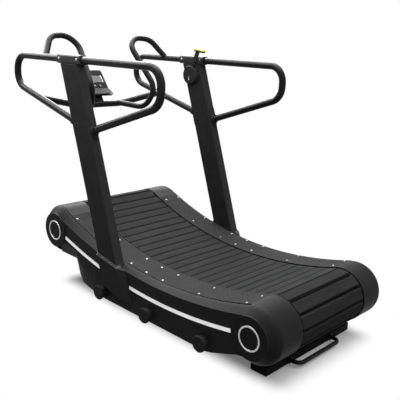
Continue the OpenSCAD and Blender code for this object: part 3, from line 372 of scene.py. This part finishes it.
def tread_pattern(side):
    low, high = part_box(f"{side}_tread")
    first = math.asin((low.x - CENTRE.x) / TREAD_R)
    last = math.asin((high.x - CENTRE.x) / TREAD_R)
    rows = int((high.y - low.y - 2 * RIB_MARGIN) / RIB_PITCH)
    columns = int(((last - first) * TREAD_R - 2 * RIB_MARGIN) / RIB_PITCH)
    ribs = []
    for i in range(columns + 1):
        angle = first + (RIB_MARGIN + (i + RIB_START) * RIB_PITCH) / TREAD_R
        for j in range(rows + 1):
            y = (low.y + high.y) / 2 + (j - rows / 2) * RIB_PITCH
            turn = RIB_TURN if (i + j) % 2 else -RIB_TURN
            ribs.append((rib(angle, y, turn), RIB_FACES))
    add_mesh(f"{side}_tread_ribs", *joined(ribs), "tread_plastic")


for side in ("left", "right"):
    tread_pattern(side)


# Belt: a thin dark sheet between the two drive belts, behind the gaps of the slats. It is painted shade: a dark
# sheet that stands where there is only shade inside the belt's loop.

# Radii of the drive belts' line, under the deck and round the end turns
LINE_R = 1976.5 * MM
TURN_R = 108.5 * MM
SHADE_SHEET_HALF = 198 * MM
SHADE_SHEET_T = 1.6 * MM
SHADE_SHEET_STEPS = 40


def belt_line():
    """Points and outward directions round the drive belts' line, in x and z."""
    line = []
    for i in range(SHADE_SHEET_STEPS + 1):
        a = -FRONT_ANGLE + (FRONT_ANGLE + REAR_ANGLE) * i / SHADE_SHEET_STEPS
        out = Vector((-math.sin(a), math.cos(a)))
        line.append((CENTRE - LINE_R * out, out))
    for axle, start, end in end_turns():
        for i in range(1, SHADE_SHEET_STEPS):
            a = start + (end - start) * i / SHADE_SHEET_STEPS
            out = Vector((math.cos(a), math.sin(a)))
            line.append((Vector((axle.x, axle.z)) + TURN_R * out, out))
    return line


def belt_shade_sheet():
    sections = []
    for point, out in belt_line():
        section = []
        for y, depth in CORNERS:
            p = point + out * depth * SHADE_SHEET_T / 2
            section.append((p.x, y * SHADE_SHEET_HALF, p.y))
        sections.append(section)
    # Painted shade: this near-black sheet keeps the gaps between the slats dark
    add_mesh("belt_shade_sheet", *hoop(sections), "belt_rubber")


belt_shade_sheet()


# Console: bright edges beside the screen and grey pads on the ends of the lip

CONSOLE_TILT = math.radians(52)
CONSOLE_HALF = 95 * MM
CONSOLE_CORNER = 16 * MM
UP_FACE = Vector((-math.cos(CONSOLE_TILT), 0, math.sin(CONSOLE_TILT)))
OFF_FACE = Vector((math.sin(CONSOLE_TILT), 0, math.cos(CONSOLE_TILT)))

# Edges: their foot lies in the screen, and they are lower at both ends
SCREEN_FRONT = 1.5 * MM
EDGE_INSET = 1 * MM
EDGE_WIDTH = 4 * MM
EDGE_HALF = 23 * MM
EDGE_ROOT = 0.2 * MM
EDGE_BEVEL = 0.4 * MM
EDGE_HEIGHT = 0.9 * MM
EDGE_END = 0.6 * MM
EDGE_END_HEIGHT = 0.1 * MM

# From the middle of the screen to the axis of the lip's round edge, up the face and off it
LIP_AXIS = (-121.6 * MM, 17.5 * MM)
LIP_R = 9 * MM
PAD_WIDTH = 22 * MM
PAD_INSET = 1.5 * MM
PAD_ROOT = 0.3 * MM
PAD_HEIGHT = 0.6 * MM
PAD_BEVEL = 0.5 * MM
PAD_FROM = math.radians(70)
PAD_STEP = math.radians(9.3)
PAD_SECTIONS = 15


def on_console(up, y, off):
    return middle("console_screen") + UP_FACE * up + OFF_FACE * off + Vector((0, y, 0))


def screen_edge(name, side):
    low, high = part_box("console_screen")
    outer = side * ((high.y - low.y) / 2 - EDGE_INSET)
    inner = outer - side * EDGE_WIDTH
    bevel = side * EDGE_BEVEL
    foot = SCREEN_FRONT - EDGE_ROOT
    shoulder = EDGE_HALF - EDGE_END
    sections = []
    for up, height in ((-EDGE_HALF, EDGE_END_HEIGHT), (-shoulder, EDGE_HEIGHT),
                       (shoulder, EDGE_HEIGHT), (EDGE_HALF, EDGE_END_HEIGHT)):
        top = SCREEN_FRONT + height
        outline = ((inner, foot), (outer, foot), (outer - bevel, top), (inner + bevel, top))
        sections.append([on_console(up, y, off) for y, off in outline])
    add_mesh(name, *bar(sections), "silver_trim", material=DULL_FILM)


def lip_pad(name, side):
    foot, top = LIP_R - PAD_ROOT, LIP_R + PAD_HEIGHT
    sections = []
    for i in range(PAD_SECTIONS):
        a = PAD_FROM + PAD_STEP * i
        back = min(0.0, LIP_R * math.cos(a) + LIP_R - CONSOLE_CORNER)
        end = CONSOLE_HALF - CONSOLE_CORNER + math.sqrt(CONSOLE_CORNER ** 2 - back ** 2) - PAD_INSET
        start = end - PAD_WIDTH
        outline = ((start, foot), (end, foot), (end - PAD_BEVEL, top), (start + PAD_BEVEL, top))
        sections.append([on_console(LIP_AXIS[0] + r * math.cos(a), side * y, LIP_AXIS[1] + r * math.sin(a))
                         for y, r in outline])
    add_mesh(name, *bar(sections), "button_grey")


for name, side in (("left", -1), ("right", 1)):
    screen_edge(f"{name}_screen_edge", side)
    lip_pad(f"{name}_lip_pad", side)


# End caps: silver rings with a bevelled edge, smaller than the solids' rings

RING_IN, RING_OUT = 49 * MM, 57 * MM
RING_T = 1.5 * MM
RING_BEVEL = 0.5 * MM
RING_STEPS = 96


def end_rings():
    low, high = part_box("cap_rings")
    rings = []
    for axle in (FRONT, REAR):
        for outer, inward in ((low.y, 1), (high.y, -1)):
            inner = outer + inward * RING_T
            outline = ((inner, RING_IN), (inner, RING_OUT),
                       (outer, RING_OUT - RING_BEVEL), (outer, RING_IN + RING_BEVEL))
            angles = [2 * math.pi * i / RING_STEPS for i in range(RING_STEPS)]
            rings.append(hoop([[about(axle, a, y, r) for y, r in outline] for a in angles]))
    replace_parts(add_mesh("end_rings", *joined(rings), "silver_trim", material=DULL_FILM), "cap_rings")


end_rings()


# End caps: lips under the caps' skin, which close the gap beside the slats. They are partly painted shade: they
# take the belts' near-black rubber, darker than the caps' plastic, so that the groove looks shaded.

CAP_WALL = 4 * MM
SEAL_T = 2 * MM
# Gap to the slats' ends, reach under the skin, fall from there to the slats, and hold in the skin
SEAL_PLAY = 0.6 * MM
SEAL_REACH = 4 * MM
SEAL_DROP = 10 * MM
SEAL_BITE = 0.2 * MM
SEAL_STEPS = 32


def turn_seals_and_shade():
    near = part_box("belt_slats")[1].y + SEAL_PLAY
    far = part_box("right_rear_cap")[0].y + SEAL_REACH
    skin = CAP_R - CAP_WALL + SEAL_BITE
    outline = ((near, skin - SEAL_DROP - SEAL_T), (far, skin - SEAL_T), (far, skin), (near, skin - SEAL_DROP))
    seals = []
    for axle, start, end in end_turns():
        angles = [start + (end - start) * i / SEAL_STEPS for i in range(SEAL_STEPS + 1)]
        for side in (-1, 1):
            seals.append(bar([[about(axle, a, side * y, r) for y, r in outline] for a in angles]))
    # Partly painted shade: the lips use the dark belt rubber, not the caps' plastic, to darken the groove beside
    # the slats
    add_mesh("turn_seals_and_shade", *joined(seals), "belt_rubber")


turn_seals_and_shade()


# Lever: a crowned cap

CAP_TURN = math.radians(7)
CAP_LENGTH, CAP_WIDTH = 78 * MM, 24 * MM
CAP_ROUND, CAP_LEAST_ROUND = 8 * MM, 0.5 * MM
CAP_CORNER_STEPS = 7
# Inset from the cap's outline and height above its middle in mm, from the foot to the crown
CAP_LEVELS = ((1.0, -4.5), (0.0, -3.6), (0.0, -1.0), (0.6, 1.8),
              (2.0, 3.6), (4.4, 4.9), (7.4, 5.5), (10.0, 5.7))


def rounded_outline(length, width, corner):
    """Points round a rectangle with round corners."""
    points = []
    for quarter, (sx, sy) in enumerate(((1, 1), (-1, 1), (-1, -1), (1, -1))):
        for i in range(CAP_CORNER_STEPS + 1):
            a = math.pi / 2 * (quarter + i / CAP_CORNER_STEPS)
            points.append((sx * (length / 2 - corner) + corner * math.cos(a),
                           sy * (width / 2 - corner) + corner * math.sin(a)))
    return points


def crowned_cap():
    centre = middle("lever_cap")
    along = Vector((math.cos(CAP_TURN), 0, -math.sin(CAP_TURN)))
    up = Vector((math.sin(CAP_TURN), 0, math.cos(CAP_TURN)))
    vertices, faces = [], []
    for inset, height in CAP_LEVELS:
        gone = inset * MM
        corner = max(CAP_ROUND - gone, CAP_LEAST_ROUND)
        outline = rounded_outline(CAP_LENGTH - 2 * gone, CAP_WIDTH - 2 * gone, corner)
        vertices += [centre + along * u + Vector((0, v, 0)) + up * height * MM for u, v in outline]
    count = len(vertices) // len(CAP_LEVELS)
    for level in range(len(CAP_LEVELS) - 1):
        for i in range(count):
            a, b = level * count + i, level * count + (i + 1) % count
            faces.append((a, b, b + count, a + count))
    faces.append(tuple(range(count - 1, -1, -1)))
    faces.append(tuple(len(vertices) - count + i for i in range(count)))
    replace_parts(add_mesh("crowned_cap", vertices, faces, "yellow_cap", "lever"), "lever_cap")


crowned_cap()


# Dial: a plain pointer on its turning face

# How far the dial's turning face stands in front of the housing
DIAL_DEPTH = 8 * MM
POINTER_ROOT = 0.2 * MM
POINTER_HEIGHT = 0.6 * MM
# Outline from the dial's middle in mm
POINTER = ((-0.9, -8), (0.9, -8), (1.4, -20), (2.6, -26), (2.2, -31),
           (0.0, -32.5), (-2.2, -31), (-2.6, -26), (-1.4, -20))


def dial_pointer():
    centre = middle("dial_housing")
    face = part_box("dial_housing")[0].y - DIAL_DEPTH
    count = len(POINTER)
    vertices = []
    for y in (face + POINTER_ROOT, face - POINTER_HEIGHT):
        vertices += [(centre.x + u * MM, y, centre.z + w * MM) for u, w in POINTER]
    faces = [tuple(range(count)), tuple(range(2 * count - 1, count - 1, -1))]
    for i in range(count):
        k = (i + 1) % count
        faces.append((k, i, i + count, k + count))
    add_mesh("dial_pointer", vertices, faces, "silver_trim", "lever")


dial_pointer()


# Studio

FLOOR_SIZE = 30.0
FLOOR_COLOUR = (0.9, 0.9, 0.9, 1)
BOUNCE_COLOUR = (0.06, 0.06, 0.06, 1)
WHITE = (1, 1, 1, 1)
WHITE_STRENGTH = 1.0
WORLD_STRENGTH = 0.08
# Shaded part of the floor, its middle and half sizes, how far from it the floor has faded to plain white,
# and the share of white inside it
FOOTPRINT_MID = (0.18, 0.0)
FOOTPRINT = (0.73, 0.30)
SHADOW_REACH = 0.13
SHADOW_NEAR = 0.15


def seen_directly(tree):
    """1 for what the camera sees, also in gloss and through glass."""
    path = tree.nodes.new("ShaderNodeLightPath")
    total = path.outputs["Is Camera Ray"]
    for name in ("Is Glossy Ray", "Is Transmission Ray"):
        larger = tree.nodes.new("ShaderNodeMath")
        larger.operation = "MAXIMUM"
        tree.links.new(total, larger.inputs[0])
        tree.links.new(path.outputs[name], larger.inputs[1])
        total = larger.outputs["Value"]
    return total


def floor_fade(tree):
    """Share of plain white on the floor: small under the machine, 1 away from it."""
    def math_node(operation, first, second):
        made = tree.nodes.new("ShaderNodeMath")
        made.operation = operation
        for socket, value in zip(made.inputs, (first, second)):
            if isinstance(value, float):
                socket.default_value = value
            else:
                tree.links.new(value, socket)
        return made.outputs["Value"]

    place = tree.nodes.new("ShaderNodeSeparateXYZ")
    coords = tree.nodes.new("ShaderNodeTexCoord")
    tree.links.new(coords.outputs["Object"], place.inputs["Vector"])
    away = []
    for axis, mid, half in zip("XY", FOOTPRINT_MID, FOOTPRINT):
        offset = math_node("SUBTRACT", place.outputs[axis], mid)
        outside = math_node("SUBTRACT", math_node("ABSOLUTE", offset, 0.0), half)
        away.append(math_node("POWER", math_node("MAXIMUM", outside, 0.0), 2.0))
    distance = math_node("SQRT", math_node("ADD", away[0], away[1]), 0.0)
    fade = tree.nodes.new("ShaderNodeMapRange")
    fade.interpolation_type = "SMOOTHSTEP"
    fade.inputs["From Max"].default_value = SHADOW_REACH
    fade.inputs["To Min"].default_value = SHADOW_NEAR
    tree.links.new(distance, fade.inputs["Value"])
    return fade.outputs["Result"]


def diffuse(tree, colour):
    made = tree.nodes.new("ShaderNodeBsdfDiffuse")
    made.inputs["Color"].default_value = colour
    return made.outputs["BSDF"]


def white_light(tree, kind, strength):
    made = tree.nodes.new(kind)
    made.inputs["Color"].default_value = WHITE
    made.inputs["Strength"].default_value = strength
    return made.outputs[0]


def mix_shaders(tree, factor, first, second):
    made = tree.nodes.new("ShaderNodeMixShader")
    tree.links.new(factor, made.inputs["Fac"])
    tree.links.new(first, made.inputs[1])
    tree.links.new(second, made.inputs[2])
    return made.outputs["Shader"]


def studio_floor():
    s = FLOOR_SIZE
    mesh = bpy.data.meshes.new("floor")
    mesh.from_pydata([(-s, -s, 0), (s, -s, 0), (s, s, 0), (-s, s, 0)], [], [(0, 1, 2, 3)])
    floor = bpy.data.objects.new("floor", mesh)
    bpy.context.collection.objects.link(floor)
    material = bpy.data.materials.new("floor_white")
    material.use_nodes = True
    tree = material.node_tree
    tree.nodes.clear()
    white = white_light(tree, "ShaderNodeEmission", WHITE_STRENGTH)
    seen = mix_shaders(tree, floor_fade(tree), diffuse(tree, FLOOR_COLOUR), white)
    surface = mix_shaders(tree, seen_directly(tree), diffuse(tree, BOUNCE_COLOUR), seen)
    out = tree.nodes.new("ShaderNodeOutputMaterial")
    tree.links.new(surface, out.inputs["Surface"])
    mesh.materials.append(material)


def studio_world():
    world = bpy.data.worlds.new("studio")
    bpy.context.scene.world = world
    world.use_nodes = True
    tree = world.node_tree
    tree.nodes.clear()
    light = white_light(tree, "ShaderNodeBackground", WORLD_STRENGTH)
    white = white_light(tree, "ShaderNodeBackground", WHITE_STRENGTH)
    surface = mix_shaders(tree, seen_directly(tree), light, white)
    out = tree.nodes.new("ShaderNodeOutputWorld")
    tree.links.new(surface, out.inputs["Surface"])


def soft_sun(name, towards, strength, spread):
    """A sun whose disc is spread degrees wide; towards points to it."""
    data = bpy.data.lights.new(name, "SUN")
    data.energy = strength
    data.angle = math.radians(spread)
    light = bpy.data.objects.new(name, data)
    light.rotation_euler = (-Vector(towards)).to_track_quat("-Z", "Y").to_euler()
    bpy.context.collection.objects.link(light)


def panel(name, place, aim, size, power, gloss, spread=180):
    """A panel that shows in gloss only, or lights without showing."""
    data = bpy.data.lights.new(name, "AREA")
    data.size = size
    data.energy = power
    data.spread = math.radians(spread)
    light = bpy.data.objects.new(name, data)
    light.location = place
    light.rotation_euler = (Vector(aim) - Vector(place)).to_track_quat("-Z", "Y").to_euler()
    light.visible_diffuse = not gloss
    light.visible_glossy = gloss
    bpy.context.collection.objects.link(light)


def camera():
    yaw, pitch, roll = (math.radians(a) for a in (CAMERA_YAW, CAMERA_PITCH, CAMERA_ROLL))
    look = Vector((-math.sin(yaw) * math.cos(pitch), math.cos(yaw) * math.cos(pitch), -math.sin(pitch)))
    level = look.cross(Vector((0, 0, 1))).normalized()
    rise = level.cross(look)
    x_axis = level * math.cos(roll) + rise * math.sin(roll)
    y_axis = rise * math.cos(roll) - level * math.sin(roll)
    data = bpy.data.cameras.new("camera")
    data.lens = CAMERA_LENS
    data.sensor_width = SENSOR
    data.clip_end = CLIP_END
    made = bpy.data.objects.new("camera", data)
    turn = Matrix((x_axis, y_axis, -look)).transposed().to_4x4()
    made.matrix_world = Matrix.Translation(CAMERA_AT) @ turn
    bpy.context.collection.objects.link(made)
    bpy.context.scene.camera = made


studio_floor()
studio_world()
soft_sun("overhead", towards=(0.26, 0.05, 1.0), strength=2.75, spread=70)
panel("softbox", place=(-2.2, 0.3, 4.2), aim=(0, 0, 0.4), size=7.0, power=2150, gloss=True)
panel("side_fill", place=(1.6, -2.8, 2.6), aim=(-0.6, 0.2, 1.6), size=1.2, power=4.5, gloss=False, spread=40)
camera()
bpy.context.scene.view_settings.view_transform = "Standard"
